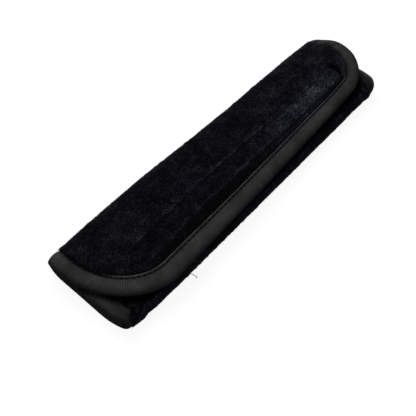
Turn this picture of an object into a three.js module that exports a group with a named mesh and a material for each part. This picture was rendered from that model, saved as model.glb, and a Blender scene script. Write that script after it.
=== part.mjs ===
// A seat belt shoulder pad: a soft sewn pad folded in three across its width, so that
// its middle panel lies on the floor, a narrow flap is turned in over the belt channel
// from the front, and a wide flap with rounded corners is turned over both from the back.
// Millimetres. +X runs along the pad, the open front edge faces -Y, and +Z is up.
// The origin is on the floor, under the middle of the pad.
import * as THREE from "three";

// The folded pad, and how far its top flap slides past the lower panels at each end
const padLength = 243;
const foldedWidth = 65;
const slideNear = 1;
const slideFar = 2.4;
const channelHeight = 4.3;
const underFlapReach = 20;
const topFlapReach = 31.4;

// The layers, from the outside in
const plushThickness = 1.2;
const foamThickness = 1.0;
const liningThickness = 0.5;
const layerGap = 0.28;
const flapPuff = 1.1;
const puffWidth = 10;
const backPuff = 0.9;
const frontSink = 0.7;

// The tape that binds the edge
const tapeWidth = 11.5;
const tapeThickness = 0.55;
const tapeRoll = 1.3;
const tapeShoulder = 0.4;
const edgeInset = 1.25;
const foamInset = 2.2;
const leastStep = 0.6;

// The rounded corners of the two flaps
const nearCorner = { along: 43.3, across: 51.3 };
const farCorner = { along: 27, across: 37.8 };
const underCorner = { along: 18, across: 18 };

// The hook and loop strips that close the pad
const stripWidth = 16;
const stripThickness = 0.45;
const stripEndNear = -88;
const stripEndFar = 96.3;
const stripFromEdge = 25.2;
const stripSlant = -0.045;
const stitchFromStripEdge = 1.5;
const grooveHalfWidth = 1.1;
const grooveDepth = 0.7;
const grooveFade = 3;

// How the pad lies: how far the top flap's edge droops, how far that edge and the two
// folds stray towards +Y, how the folds' ends tuck in, and how the flap's far tip lifts
const edgeDroop = 1.1;
const edgeStray = { near: -2.2, middle: 1.2, far: 6.4 };
const backStrayFar = -5.5;
const backBulge = 1.4;
const bulgeAt = -63;
const bulgeLength = 41;
const frontStray = { near: 1.85, far: 1.4 };
const frontStrayLength = 45;
const frontStrayReach = 24;
const frontTuck = { near: 3.2, far: 2.3 };
const frontTuckReach = { near: 12, far: 9 };
const backTuck = { near: 1, far: 1.4 };
const farSag = 1.7;
const tuckLength = 26;
const tuckReach = 9;
const farTuckReach = 11;
const farTuckFromTop = 4.6;
const tipLift = 4.9;
const tipLiftLength = 52;
const tipRise = 20;
const tipEase = { from: 0.6, by: 0.4 };

const halfLength = (padLength - slideNear - slideFar) / 2;
const middleShift = (slideNear - slideFar) / 2;
const halfWidth = foldedWidth / 2;
const frontReach = halfWidth + frontSink;
const backReach = halfWidth - backPuff;
const panel = plushThickness + foamThickness + liningThickness + 2 * layerGap;
const tapeSink = tapeThickness + layerGap;
const underTop = 2 * panel + channelHeight;
const closure = 3 * layerGap + 2 * stripThickness;
const padTop = underTop + closure + panel;
const frontRadius = underTop / 2;
const backRadius = padTop / 2;

// Lengths of the five stretches of the pad's outer face, measured from the free edge of
// the under flap, round the front fold, under the middle panel, round the back fold and
// along the top flap to its free edge.
const underFlat = underFlapReach + frontReach - frontRadius;
const frontFold = Math.PI * frontRadius;
const middleFlat = frontReach + backReach - frontRadius - backRadius;
const backFold = Math.PI * backRadius;
const topFlat = backReach - backRadius + topFlapReach;
const frontFoldStart = underFlat;
const middleStart = frontFoldStart + frontFold;
const backFoldStart = middleStart + middleFlat;
const topStart = backFoldStart + backFold;
const girth = topStart + topFlat;

// How finely the sheets, the tape and the strips are divided
const roundSteps = { underFlat: 3, frontFold: 8, middle: 3, backFold: 10, topFlat: 4 };
const cornerSteps = { under: 5, near: 12, far: 9 };
const edgeSteps = { under: 8, top: 14 };
const middleColumns = 12;
const stripSteps = 20;
const lineSteps = 100;

const smooth = (t) => THREE.MathUtils.smoothstep(t, 0, 1);

const hill = (t) => Math.exp(-t * t);

// How far the back fold strays at x, counted from where it bulges most, so that the pad
// is as wide there as stated.
function backLineAt(x) {
  const share = THREE.MathUtils.clamp((x + halfLength) / (2 * halfLength), 0, 1);
  return backStrayFar * share + backBulge * hill((x - bulgeAt) / bulgeLength);
}
const line = Array.from({ length: lineSteps + 1 }, (_, k) =>
  backLineAt(halfLength * ((2 * k) / lineSteps - 1)),
);
const widest = Math.max(...line);
const backStrayAt = (x) => backLineAt(x) - widest;

// A point of the outer face's cross section, with the direction into the pad.
function sectionAt(s) {
  if (s <= frontFoldStart) return { y: underFlapReach - s, z: underTop, inY: 0, inZ: -1 };
  if (s <= middleStart) {
    const turn = Math.PI / 2 + (s - frontFoldStart) / frontRadius;
    const [c, d] = [Math.cos(turn), Math.sin(turn)];
    const y = frontRadius - frontReach + frontRadius * c;
    return { y, z: frontRadius + frontRadius * d, inY: -c, inZ: -d };
  }
  if (s <= backFoldStart) {
    return { y: frontRadius - frontReach + s - middleStart, z: 0, inY: 0, inZ: 1 };
  }
  if (s <= topStart) {
    const turn = (s - backFoldStart) / backRadius - Math.PI / 2;
    const [c, d] = [Math.cos(turn), Math.sin(turn)];
    const y = backReach - backRadius + backRadius * c;
    return { y, z: backRadius + backRadius * d, inY: -c, inZ: -d };
  }
  return { y: backReach - backRadius - (s - topStart), z: padTop, inY: 0, inZ: -1 };
}

// How far a point lies from where a flat and square fold would put it. The folds and the
// flap's free edge stray across the pad and their ends tuck in, the flap slides along it,
// the edge droops on to the under flap, and the far end sags by the fold and lifts beyond.
function lieAt(x, s) {
  const along = x / halfLength;
  const fromEnd = halfLength - Math.abs(x);
  const across = THREE.MathUtils.clamp((s - topStart) / topFlat, 0, 1);
  const overFold = smooth((s - backFoldStart) / backFold);
  const edgeEnd = along < 0 ? edgeStray.near : edgeStray.far;
  const edge = THREE.MathUtils.lerp(edgeStray.middle, edgeEnd, Math.abs(along));
  const overBack = smooth((s - middleStart) / (topStart - middleStart));
  const offFront = Math.max(frontFoldStart - s, s - middleStart, 0);
  const overFront = smooth(1 - offFront / frontStrayReach);
  const front = (along < 0 ? frontStray.near : frontStray.far) * smooth(1 - fromEnd / frontStrayLength);
  const slide = along < 0 ? -slideNear * smooth(-along) : slideFar * smooth(along);
  const droop = edgeDroop * smooth((s - girth + tapeWidth) / tapeWidth);
  const tip = tipLift * smooth(1 - (halfLength - x) / tipLiftLength);
  const pastBack = (s - backFoldStart - backFold / 2) / (backFold / 2 + tipRise);
  const ease = tipEase.by * smooth((across - tipEase.from) / (1 - tipEase.from));
  const openTip = smooth(pastBack) * (1 - ease);
  const atEnd = smooth(1 - fromEnd / tuckLength);
  const end = along < 0 ? "near" : "far";
  const frontEnd = hill((s - frontFoldStart - frontFold / 2) / frontTuckReach[end]) * atEnd;
  const nearEnd = hill((s - backFoldStart - backFold / 2) / tuckReach) * atEnd;
  const farEnd = hill((s - topStart + farTuckFromTop) / farTuckReach) * atEnd;
  const backEnd = along < 0 ? backTuck.near * nearEnd : backTuck.far * farEnd;
  const tuck = frontTuck[end] * frontEnd + backEnd;
  const sag = along < 0 ? 0 : farSag * farEnd * overFold;
  return new THREE.Vector3(
    middleShift + slide * overFold - Math.sign(x) * tuck,
    THREE.MathUtils.lerp(backStrayAt(x) * overBack, edge, across) + front * overFront,
    tip * openTip - droop - sag,
  );
}

// The place in space of a point of the flat pad: x along it, s round it from the under
// flap's free edge, and how deep it lies below the outer face.
function place(x, s, depth) {
  const at = sectionAt(s);
  const flat = new THREE.Vector3(x, at.y + depth * at.inY, at.z + depth * at.inZ);
  return flat.add(lieAt(x, s));
}

// Where the flat pad ends at s on its near side (-1) or far side (1), with its outline
// drawn in by inset.
function endAt(side, s, inset) {
  const topCorner = side < 0 ? nearCorner : farCorner;
  const corners = [
    { reach: s, ...underCorner },
    { reach: girth - s, ...topCorner },
  ];
  const ends = corners.map(({ reach, along, across }) => {
    const rise = Math.max(0, (across - reach) / (across - inset));
    const bow = Math.sqrt(Math.max(0, 1 - rise * rise));
    return halfLength - along + (along - inset) * bow;
  });
  return side * Math.min(...ends);
}

// Where the strips' stitch lines run: the distance round the pad of a line that lies
// offset from the strip's middle, at x.
const stripLine = girth - stripFromEdge;
const underStripLine = underFlapReach + topFlapReach - stripFromEdge;
const slantAt = (x) => stripSlant * THREE.MathUtils.clamp(x, 0, stripEndFar);
const stitchOffset = stripWidth / 2 - stitchFromStripEdge;

// Rows round the pad. A row has its place s, and how much of the strip's slant it takes.
function rowsRound(inset, cornerRows) {
  const spread = (from, to, count) =>
    Array.from({ length: count }, (_, k) => from + ((to - from) * k) / count);
  const bottom = [
    ...spread(frontFoldStart, middleStart, roundSteps.frontFold),
    ...spread(middleStart, backFoldStart, roundSteps.middle),
    ...spread(backFoldStart, topStart, roundSteps.backFold),
  ];
  const rows = [
    ...[inset, ...cornerRows].map((s) => ({ s, slant: 0 })),
    ...bottom.map((s) => ({ s, slant: 0 })),
  ];
  const firstGroove = stripLine - stitchOffset - grooveHalfWidth;
  for (let k = 0; k < roundSteps.topFlat; k++) {
    const share = k / roundSteps.topFlat;
    rows.push({ s: THREE.MathUtils.lerp(topStart, firstGroove, share), slant: share });
  }
  for (const side of [-1, 1]) {
    for (const part of [-1, 0, 1]) {
      const s = stripLine + side * stitchOffset + part * grooveHalfWidth;
      const last = girth - besideTape - leastStep * (4.5 - 1.5 * side - part - 1);
      rows.push({ s, slant: 1, groove: part === 0, last });
    }
  }
  const topRows = cornerRows.filter((d) => d < puffedFrom);
  rows.push(...[...topRows.reverse(), inset].map((d) => ({ s: girth - d, slant: 0 })));
  return rows;
}

// A grid over the flat pad, as rows of { x, s, inset, groove }.
function gridOver(insets, cornerRows) {
  return rowsRound(insets[0], cornerRows).map((row) => {
    const roundAt = (x) => Math.min(row.s - row.slant * slantAt(x), row.last ?? Infinity);
    const edgesOn = (side) => {
      const edges = [];
      for (const inset of insets) {
        const end = side * endAt(side, roundAt(side * halfLength), inset);
        const last = Math.abs(edges.at(-1)?.x ?? Infinity);
        edges.push({ x: side * Math.min(end, last - leastStep), inset });
      }
      return edges;
    };
    const [far, near] = [edgesOn(1), edgesOn(-1)];
    const middles = Array.from({ length: middleColumns }, (_, k) => ({
      x: THREE.MathUtils.lerp(far.at(-1).x, near.at(-1).x, (k + 1) / (middleColumns + 1)),
      inset: Infinity,
    }));
    return [...far, ...middles, ...near.reverse()].map(({ x, inset }) => {
      const s = roundAt(x);
      return { x, s, inset: Math.min(inset, s, girth - s), groove: row.groove === true };
    });
  });
}

// A closed body from a grid of corners above and a grid below it.
function bodyBetween(upper, lower) {
  const [rows, columns] = [upper.length, upper[0].length];
  const points = [...upper.flat(), ...lower.flat()];
  const at = (i, j, side) => side * rows * columns + i * columns + j;
  const faces = [];
  const quad = (a, b, c, d) => faces.push(a, b, c, a, c, d);
  for (let i = 0; i < rows - 1; i++) {
    for (let j = 0; j < columns - 1; j++) {
      quad(at(i, j, 0), at(i, j + 1, 0), at(i + 1, j + 1, 0), at(i + 1, j, 0));
      quad(at(i, j, 1), at(i + 1, j, 1), at(i + 1, j + 1, 1), at(i, j + 1, 1));
    }
  }
  for (let i = 0; i < rows - 1; i++) {
    quad(at(i, 0, 0), at(i + 1, 0, 0), at(i + 1, 0, 1), at(i, 0, 1));
    const j = columns - 1;
    quad(at(i, j, 0), at(i, j, 1), at(i + 1, j, 1), at(i + 1, j, 0));
  }
  for (let j = 0; j < columns - 1; j++) {
    quad(at(0, j, 0), at(0, j, 1), at(0, j + 1, 1), at(0, j + 1, 0));
    const i = rows - 1;
    quad(at(i, j, 0), at(i, j + 1, 0), at(i, j + 1, 1), at(i, j, 1));
  }
  return bodyOf(points, faces);
}

function bodyOf(points, faces) {
  const geometry = new THREE.BufferGeometry();
  const positions = points.flatMap((p) => [p.x, p.y, p.z]);
  geometry.setAttribute("position", new THREE.Float32BufferAttribute(positions, 3));
  geometry.setIndex(faces);
  geometry.computeVertexNormals();
  return geometry;
}

// A layer of the pad, between two depths that may vary from point to point.
function layer(grid, outerDepth, innerDepth) {
  const surface = (depth) => grid.map((row) => row.map((p) => place(p.x, p.s, depth(p))));
  return bodyBetween(surface(outerDepth), surface(innerDepth));
}

// The cloth dips under the tape and rises beside it.
const tapeEdge = tapeWidth + 0.3;
const besideTape = tapeWidth + 1.1;
const puffedFrom = tapeWidth + puffWidth;
const sunkBy = (inset) => tapeSink * (1 - smooth((inset - tapeEdge) / (besideTape - tapeEdge)));

// The top flap puffs up away from its bound edge.
function puffAt({ s, inset }) {
  const rise = smooth((inset - tapeEdge) / (puffedFrom - tapeEdge));
  const overBack = smooth((s - backFoldStart) / (backFold / 2));
  const overTop = smooth(2 * (s - backFoldStart) / backFold - 1);
  const puff = THREE.MathUtils.lerp(backPuff, flapPuff, overTop);
  const onFront = Math.sin(Math.PI * THREE.MathUtils.clamp((s - frontFoldStart) / frontFold, 0, 1));
  return rise * (puff * overBack - frontSink * onFront);
}

// The stitches pull a groove into the flap along the hook strip, up to the tape.
function grooveAt({ x, inset, groove }) {
  const ends = smooth((x - stripEndNear) / grooveFade) * smooth((stripEndFar - x) / grooveFade);
  return groove ? grooveDepth * ends * smooth((inset - besideTape) / grooveFade) : 0;
}

const finish = (color, roughness) => new THREE.MeshStandardMaterial({ color, roughness, metalness: 0 });
const plushFinish = finish(0x0c0c10, 0.95);
const foamFinish = finish(0x3a3a3c, 0.9);
const liningFinish = finish(0x141417, 0.9);
const tapeFinish = finish(0x202021, 0.8);
const stripFinish = finish(0x101012, 0.85);

const sheetInsets = [edgeInset, tapeEdge, besideTape, puffedFrom];
const sheetRows = [0.3 * tapeWidth, 0.6 * tapeWidth, tapeEdge, besideTape, puffedFrom];

function plushCover() {
  const grid = gridOver(sheetInsets, sheetRows);
  const outer = (p) => sunkBy(p.inset) - puffAt(p) + grooveAt(p);
  const thin = plushThickness - tapeSink / 2;
  const inner = (p) => {
    const under = 1 - smooth((p.inset - tapeEdge) / (besideTape - tapeEdge));
    return outer(p) + THREE.MathUtils.lerp(plushThickness, thin, under) - grooveAt(p) / 2;
  };
  return new THREE.Mesh(layer(grid, outer, inner), plushFinish);
}

function innerLining() {
  const grid = gridOver(sheetInsets, sheetRows);
  const inner = (p) => panel - sunkBy(p.inset);
  return new THREE.Mesh(layer(grid, (p) => inner(p) - liningThickness, inner), liningFinish);
}

function foamCore() {
  const inset = tapeWidth + foamInset;
  const grid = gridOver([inset, puffedFrom], [puffedFrom]);
  const outer = (p) => plushThickness + layerGap - puffAt(p) + grooveAt(p) / 2;
  const inner = () => panel - liningThickness - layerGap;
  return new THREE.Mesh(layer(grid, outer, inner), foamFinish);
}

// The outline of the flat pad, as functions from an inset to a point { x, s }.
function outline() {
  const points = [];
  const steps = (count, make) => {
    for (let k = 0; k < count; k++) points.push(make(k / count));
  };
  const corner = (side, edge, inward, { along, across }, count, turnAt) =>
    steps(count, (t) => (inset) => ({
      x: side * (halfLength - along + (along - inset) * Math.cos(turnAt(t))),
      s: edge + inward * (across - (across - inset) * Math.sin(turnAt(t))),
    }));
  const endStretches = (side, topCorner) => [
    [underCorner.across, frontFoldStart, roundSteps.underFlat],
    [frontFoldStart, middleStart, roundSteps.frontFold],
    [middleStart, backFoldStart, roundSteps.middle],
    [backFoldStart, topStart, roundSteps.backFold],
    [topStart, girth - topCorner.across, roundSteps.topFlat],
  ].map(([from, to, count]) => ({ side, from, to, count }));
  const end = (stretches) => {
    for (const { side, from, to, count } of stretches) {
      steps(count, (t) => (inset) => ({ x: side * (halfLength - inset), s: from + (to - from) * t }));
    }
  };
  const turned = ({ side, from, to, count }) => ({ side, from: to, to: from, count });
  const straight = (from, to, count, sAt) =>
    steps(count, (t) => (inset) => ({ x: THREE.MathUtils.lerp(from, to, t), s: sAt(inset) }));
  const quarter = Math.PI / 2;
  corner(1, 0, 1, underCorner, cornerSteps.under, (t) => quarter * (1 - t));
  end(endStretches(1, farCorner));
  corner(1, girth, -1, farCorner, cornerSteps.far, (t) => quarter * t);
  const [farStart, nearStart] = [halfLength - farCorner.along, nearCorner.along - halfLength];
  straight(farStart, nearStart, edgeSteps.top, (inset) => girth - inset);
  corner(-1, girth, -1, nearCorner, cornerSteps.near, (t) => quarter * (1 - t));
  end(endStretches(-1, nearCorner).reverse().map(turned));
  corner(-1, 0, 1, underCorner, cornerSteps.under, (t) => quarter * t);
  const underEnd = halfLength - underCorner.along;
  straight(-underEnd, underEnd, edgeSteps.under, (inset) => inset);
  return points;
}

// The tape is folded over the edge: a C-shaped section carried round the outline.
function edgeBinding() {
  const middle = panel / 2;
  const wall = tapeThickness;
  const leg = (inset, depth) => ({ inset, depth });
  const half = [
    leg(tapeWidth, 0),
    leg(tapeRoll, 0),
    leg(tapeShoulder, tapeShoulder),
    leg(0, middle),
  ];
  const inside = [leg(wall, middle), leg(wall + tapeShoulder, wall), leg(tapeWidth, wall)];
  const flip = ({ inset, depth }) => leg(inset, panel - depth);
  const section = [
    ...half,
    ...half.slice(0, -1).reverse().map(flip),
    ...inside.slice(1).reverse().map(flip),
    ...inside,
  ];
  const loop = outline();
  const points = loop.flatMap((at) =>
    section.map(({ inset, depth }) => {
      const { x, s } = at(inset);
      return place(x, s, depth);
    }),
  );
  const faces = [];
  const n = section.length;
  loop.forEach((_, i) => {
    const next = (i + 1) % loop.length;
    for (let j = 0; j < n; j++) {
      const k = (j + 1) % n;
      const [a, b, c, d] = [i * n + j, i * n + k, next * n + k, next * n + j];
      faces.push(a, c, b, a, d, c);
    }
  });
  return new THREE.Mesh(bodyOf(points, faces), tapeFinish);
}

// A strip of hook or loop tape, from one depth to another on its flap.
function strip(line, outerDepth) {
  const [steps, sides] = [stripSteps, [-1, 0, 1]];
  const grid = Array.from({ length: steps + 1 }, (_, k) => {
    const x = THREE.MathUtils.lerp(stripEndNear, stripEndFar, k / steps);
    return sides.map((side) => ({ x, s: line + side * stripWidth / 2 - slantAt(x) }));
  });
  return new THREE.Mesh(layer(grid, () => outerDepth, () => outerDepth + stripThickness), stripFinish);
}

const pad = new THREE.Group();
const pieces = {
  plush_cover: plushCover(),
  foam_core: foamCore(),
  inner_lining: innerLining(),
  edge_binding: edgeBinding(),
  hook_strip: strip(stripLine, panel + layerGap),
  loop_strip: strip(underStripLine, -layerGap - stripThickness),
};
for (const [name, mesh] of Object.entries(pieces)) {
  mesh.name = name;
  pad.add(mesh);
}

export default pad;
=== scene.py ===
# A black plush seat belt shoulder pad, folded in three and lying on a pale floor.
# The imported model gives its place; the cloth, tape and threads are modelled here.
import math

import bpy
import numpy as np
from mathutils import Matrix, Vector


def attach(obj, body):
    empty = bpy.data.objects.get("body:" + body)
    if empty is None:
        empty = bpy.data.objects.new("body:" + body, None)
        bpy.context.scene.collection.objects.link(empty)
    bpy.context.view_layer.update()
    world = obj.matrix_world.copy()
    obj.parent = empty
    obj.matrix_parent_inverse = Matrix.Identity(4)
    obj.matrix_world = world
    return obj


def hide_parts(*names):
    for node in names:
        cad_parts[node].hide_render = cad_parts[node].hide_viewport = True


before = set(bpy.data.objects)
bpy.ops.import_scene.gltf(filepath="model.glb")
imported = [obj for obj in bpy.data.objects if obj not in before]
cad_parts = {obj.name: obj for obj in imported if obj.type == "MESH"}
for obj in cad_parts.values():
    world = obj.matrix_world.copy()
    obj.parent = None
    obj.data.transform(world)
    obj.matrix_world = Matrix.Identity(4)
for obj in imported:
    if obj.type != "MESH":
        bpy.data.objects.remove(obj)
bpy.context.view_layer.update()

MM = 0.001

# The folded pad, in millimetres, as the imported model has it
PAD_LENGTH = 243
FOLDED_WIDTH = 65
SLIDE_NEAR = 1
SLIDE_FAR = 2.4
CHANNEL = 4.3
UNDER_REACH = 20
TOP_REACH = 31.4
PLUSH = 1.2
FOAM = 1.0
LINING = 0.5
GAP = 0.28
FLAP_PUFF = 1.1
PUFF_WIDTH = 10
BACK_PUFF = 0.9
FRONT_SINK = 0.7
TAPE_WIDTH = 11.5
TAPE = 0.55
EDGE_INSET = 1.25
FOAM_INSET = 2.2
NEAR_CORNER = (43.3, 51.3)
FAR_CORNER = (27, 37.8)
UNDER_CORNER = (18, 18)
STRIP_WIDTH = 16
STRIP = 0.45
STRIP_NEAR = -88
STRIP_FAR = 96.3
STRIP_FROM_EDGE = 25.2
STRIP_SLANT = -0.045
STITCH_MARGIN = 1.5
EDGE_DROOP = 1.1
EDGE_STRAY = (-2.2, 1.2, 6.4)
BACK_STRAY = -5.5
BACK_BULGE = 1.4
BULGE_AT = -63
BULGE_LENGTH = 41
FRONT_STRAY = (1.85, 1.4)
FRONT_STRAY_LENGTH = 45
FRONT_STRAY_REACH = 24
FRONT_TUCK = (3.2, 2.3)
FRONT_TUCK_REACH = (12, 9)
BACK_TUCK = (1, 1.4)
FAR_SAG = 1.7
TUCK_LENGTH = 26
TUCK_REACH = 9
FAR_TUCK_REACH = 11
FAR_TUCK_FROM_TOP = 4.6
TIP_LIFT = 4.9
TIP_LIFT_LENGTH = 52
TIP_RISE = 20
TIP_EASE_FROM = 0.6
TIP_EASE_BY = 0.4

# What follows from them
HALF = (PAD_LENGTH - SLIDE_NEAR - SLIDE_FAR) / 2
SHIFT = (SLIDE_NEAR - SLIDE_FAR) / 2
HALF_WIDTH = FOLDED_WIDTH / 2
FRONT_REACH = HALF_WIDTH + FRONT_SINK
BACK_REACH = HALF_WIDTH - BACK_PUFF
PANEL = PLUSH + FOAM + LINING + 2 * GAP
SINK = TAPE + GAP
UNDER_TOP = 2 * PANEL + CHANNEL
PAD_TOP = UNDER_TOP + 3 * GAP + 2 * STRIP + PANEL
FRONT_R = UNDER_TOP / 2
BACK_R = PAD_TOP / 2
FRONT_START = UNDER_REACH + FRONT_REACH - FRONT_R
MIDDLE_START = FRONT_START + math.pi * FRONT_R
BACK_START = MIDDLE_START + FRONT_REACH + BACK_REACH - FRONT_R - BACK_R
TOP_START = BACK_START + math.pi * BACK_R
GIRTH = TOP_START + BACK_REACH - BACK_R + TOP_REACH
STRIP_LINE = GIRTH - STRIP_FROM_EDGE
UNDER_STRIP_LINE = UNDER_REACH + TOP_REACH - STRIP_FROM_EDGE
STITCH_OFFSET = STRIP_WIDTH / 2 - STITCH_MARGIN


def smooth(t):
    t = np.clip(t, 0, 1)
    return t * t * (3 - 2 * t)


def lerp(a, b, t):
    return a + (b - a) * t


# The outer face's cross section at s, with the direction into the pad
def section_at(s):
    front = math.pi / 2 + (s - FRONT_START) / FRONT_R
    back = (s - BACK_START) / BACK_R - math.pi / 2
    stretch = [s <= FRONT_START, s <= MIDDLE_START, s <= BACK_START, s <= TOP_START]
    y = np.select(
        stretch,
        [
            UNDER_REACH - s,
            FRONT_R - FRONT_REACH + FRONT_R * np.cos(front),
            FRONT_R - FRONT_REACH + s - MIDDLE_START,
            BACK_REACH - BACK_R + BACK_R * np.cos(back),
        ],
        BACK_REACH - BACK_R - (s - TOP_START),
    )
    z = np.select(
        stretch,
        [
            UNDER_TOP,
            FRONT_R + FRONT_R * np.sin(front),
            0,
            BACK_R + BACK_R * np.sin(back),
        ],
        PAD_TOP,
    )
    in_y = np.select(stretch, [0, -np.cos(front), 0, -np.cos(back)], 0)
    in_z = np.select(stretch, [-1, -np.sin(front), 1, -np.sin(back)], -1)
    return y, z, in_y, in_z


def hill(t):
    return np.exp(-t * t)


# How far the back fold strays, counted from where it bulges most
def back_line(x):
    share = np.clip((x + HALF) / (2 * HALF), 0, 1)
    return BACK_STRAY * share + BACK_BULGE * hill((x - BULGE_AT) / BULGE_LENGTH)


BACK_SAMPLES = 101
WIDEST = back_line(np.linspace(-HALF, HALF, BACK_SAMPLES)).max()


# How far a point lies from a flat and square fold
def lie_at(x, s):
    along = x / HALF
    from_end = HALF - np.abs(x)
    near = along < 0
    across = np.clip((s - TOP_START) / (GIRTH - TOP_START), 0, 1)
    over_fold = smooth((s - BACK_START) / (TOP_START - BACK_START))
    edge_near, edge_middle, edge_far = EDGE_STRAY
    edge = lerp(edge_middle, np.where(near, edge_near, edge_far), np.abs(along))
    over_back = smooth((s - MIDDLE_START) / (TOP_START - MIDDLE_START))
    off_front = np.maximum(np.maximum(FRONT_START - s, s - MIDDLE_START), 0)
    over_front = smooth(1 - off_front / FRONT_STRAY_REACH)
    front = np.where(near, *FRONT_STRAY) * smooth(1 - from_end / FRONT_STRAY_LENGTH)
    slide = np.where(near, -SLIDE_NEAR * smooth(-along), SLIDE_FAR * smooth(along))
    droop = EDGE_DROOP * smooth((s - GIRTH + TAPE_WIDTH) / TAPE_WIDTH)
    tip = TIP_LIFT * smooth(1 - (HALF - x) / TIP_LIFT_LENGTH)
    half_fold = (TOP_START - BACK_START) / 2
    past_back = (s - BACK_START - half_fold) / (half_fold + TIP_RISE)
    ease = TIP_EASE_BY * smooth((across - TIP_EASE_FROM) / (1 - TIP_EASE_FROM))
    open_tip = smooth(past_back) * (1 - ease)
    at_end = smooth(1 - from_end / TUCK_LENGTH)
    front_off = s - (FRONT_START + MIDDLE_START) / 2
    front_end = hill(front_off / np.where(near, *FRONT_TUCK_REACH)) * at_end
    near_end = hill((s - BACK_START - half_fold) / TUCK_REACH) * at_end
    far_end = hill((s - TOP_START + FAR_TUCK_FROM_TOP) / FAR_TUCK_REACH) * at_end
    back_end = np.where(near, BACK_TUCK[0] * near_end, BACK_TUCK[1] * far_end)
    tuck = np.where(near, *FRONT_TUCK) * front_end + back_end
    sag = np.where(near, 0, FAR_SAG * far_end * over_fold)
    return (
        SHIFT + slide * over_fold - np.sign(x) * tuck,
        lerp((back_line(x) - WIDEST) * over_back, edge, across) + front * over_front,
        tip * open_tip - droop - sag,
    )


# How the front fold's cloth strays at its near and far ends: it turns in at the very end,
# swells out beside that, and the near end of the panel above it is drawn in
TURN_IN = (1.2, 1.0)
TURN_IN_LENGTH = (18, 14)
SWELL_OUT = (0.65, 0.85)
SWELL_OUT_AT = (22, 20)
SWELL_OUT_LENGTH = (7, 8)
END_STRAY_REACH = 11
DRAWN_IN = 0.6
DRAWN_IN_LENGTH = 20
DRAWN_IN_ABOVE = 12
DRAWN_IN_REACH = 8


def end_stray(x, s):
    near = x < 0
    from_end = HALF - np.abs(x)
    turned = np.where(near, *TURN_IN) * smooth(1 - from_end / np.where(near, *TURN_IN_LENGTH))
    off = (from_end - np.where(near, *SWELL_OUT_AT)) / np.where(near, *SWELL_OUT_LENGTH)
    swollen = np.where(near, *SWELL_OUT) * hill(off)
    at_front = hill((s - (FRONT_START + MIDDLE_START) / 2) / END_STRAY_REACH)
    above = hill((s - FRONT_START + DRAWN_IN_ABOVE) / DRAWN_IN_REACH)
    drawn = DRAWN_IN * near * smooth(1 - from_end / DRAWN_IN_LENGTH) * above
    return drawn, (turned - swollen) * at_front


# A point of the flat pad put in space, in metres; nothing reaches below the floor
def place(x, s, depth):
    x, s, depth = np.broadcast_arrays(*(np.asarray(v, float) for v in (x, s, depth)))
    y, z, in_y, in_z = section_at(s)
    dx, dy, dz = lie_at(x, s)
    stray_x, stray_y = end_stray(x, s)
    dx, dy = dx + stray_x, dy + stray_y
    height = np.maximum(z + depth * in_z + dz, 0)
    return np.stack([x + dx, y + depth * in_y + dy, height], axis=-1) * MM


# How far the pad reaches at s on one side, with its outline drawn in by inset
def end_at(side, s, inset):
    ends = []
    for reach, (along, across) in (
        (s, UNDER_CORNER),
        (GIRTH - s, NEAR_CORNER if side < 0 else FAR_CORNER),
    ):
        rise = np.clip((across - reach) / (across - inset), 0, 1)
        ends.append(HALF - along + (along - inset) * np.sqrt(1 - rise * rise))
    return side * np.minimum(*ends)


# How far inside the pad's outline a point of the flat pad lies, found by halving
LOWEST_INSET = -3.0
HALVINGS = 18


def inset_of(x, s):
    inset = np.minimum(np.minimum(HALF - np.abs(x), s), GIRTH - s)
    for reach, near, far in ((s, UNDER_CORNER, UNDER_CORNER), (GIRTH - s, NEAR_CORNER, FAR_CORNER)):
        along = np.where(x < 0, near[0], far[0])
        across = np.where(x < 0, near[1], far[1])
        u = np.abs(x) - (HALF - along)
        w = across - reach
        low = np.full(np.shape(x), LOWEST_INSET)
        high = np.minimum(along - u, across - w)
        for _ in range(HALVINGS):
            guess = (low + high) / 2
            outside = (u / (along - guess)) ** 2 + (w / (across - guess)) ** 2 > 1
            low, high = np.where(outside, low, guess), np.where(outside, guess, high)
        inset = np.where((u > 0) & (w > 0), np.minimum(inset, low), inset)
    return inset


# Smooth noise over the flat pad, from -1 to 1, with features about size millimetres wide
LATTICE = 256
NOISE_ORIGIN = 500


def noise(x, s, size, seed):
    table = np.random.default_rng(seed).uniform(-1, 1, (LATTICE, LATTICE))
    u, v = (x + NOISE_ORIGIN) / size, (s + NOISE_ORIGIN) / size
    i, j = np.floor(u).astype(int), np.floor(v).astype(int)
    fu, fv = smooth(u - i), smooth(v - j)

    def corner(a, b):
        return table[(i + a) % LATTICE, (j + b) % LATTICE]

    return lerp(lerp(corner(0, 0), corner(1, 0), fu), lerp(corner(0, 1), corner(1, 1), fu), fv)


# Where the hook strip and its stitch lines run
SEAM_WANDER = 1.6
SEAM_WANDER_FROM = 15
SEAM_WANDER_LENGTH = 70
STITCH_NEAR = STRIP_NEAR + STITCH_MARGIN
STITCH_FAR = STRIP_FAR - STITCH_MARGIN


def slant_at(x):
    return STRIP_SLANT * np.clip(x, 0, STRIP_FAR)


def strip_s(x, offset):
    wander = SEAM_WANDER * smooth((-x - SEAM_WANDER_FROM) / SEAM_WANDER_LENGTH)
    return STRIP_LINE + offset - slant_at(x) + wander


# How far a point lies within the seam's length, within the strip's width, and near to a
# place past the seam's far end
def along_seam(x, before, ease, past, fade):
    return smooth((x - STITCH_NEAR + before) / ease) * smooth((STITCH_FAR + past - x) / fade)


def across_strip(off, past, fade):
    return smooth((STITCH_OFFSET + past - np.abs(off)) / fade)


def past_seam(x, at, width):
    return hill((x - STITCH_FAR - at) / width)


# How strongly each seam line and the crease at the strip's far end pull at a point
GROOVE = 1.15
GROOVE_WIDTH = 0.85
CREASE = 1.7
CREASE_WIDTH = 1.25
CREASE_AT = 2.2
CREASE_BOW = 0.03
CREASE_SKEW = 3
END_SWELL = 0.8
END_SWELL_BEFORE = 0.6


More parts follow.
